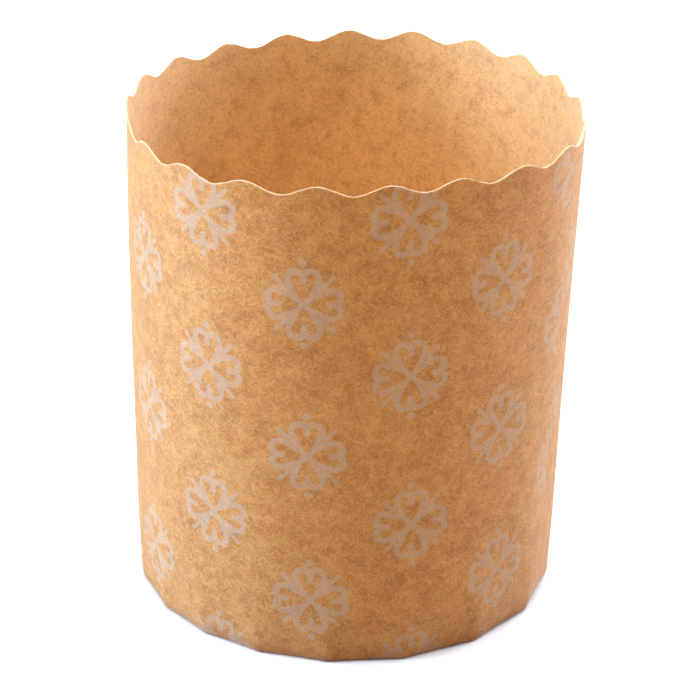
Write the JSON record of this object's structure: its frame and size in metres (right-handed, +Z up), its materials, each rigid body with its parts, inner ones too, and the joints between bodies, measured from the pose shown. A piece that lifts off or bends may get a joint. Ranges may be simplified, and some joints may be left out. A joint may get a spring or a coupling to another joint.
{
  "type": "panettone mold",
  "caption": "Tall round paper baking mold with a scalloped mouth, a lapped wall folded in at the foot as tabs, and a vented base disc.",
  "frame": {"origin": "middle of the outline, on the surface that the folded foot stands on", "axes": "+Z up, out of the mouth; -Y towards the viewer of the picture, +X to the viewer's right"},
  "size_m": [0.074, 0.076, 0.0842],
  "materials": {
    "printed_kraft": "matte fibrous kraft paper, printed outside with pale outlined heart quatrefoils",
    "plain_kraft": "matte fibrous kraft paper, bare"
  },
  "bodies": {
    "root": {"wall": "printed_kraft", "base_disc": "plain_kraft"}
  },
  "joints": []
}
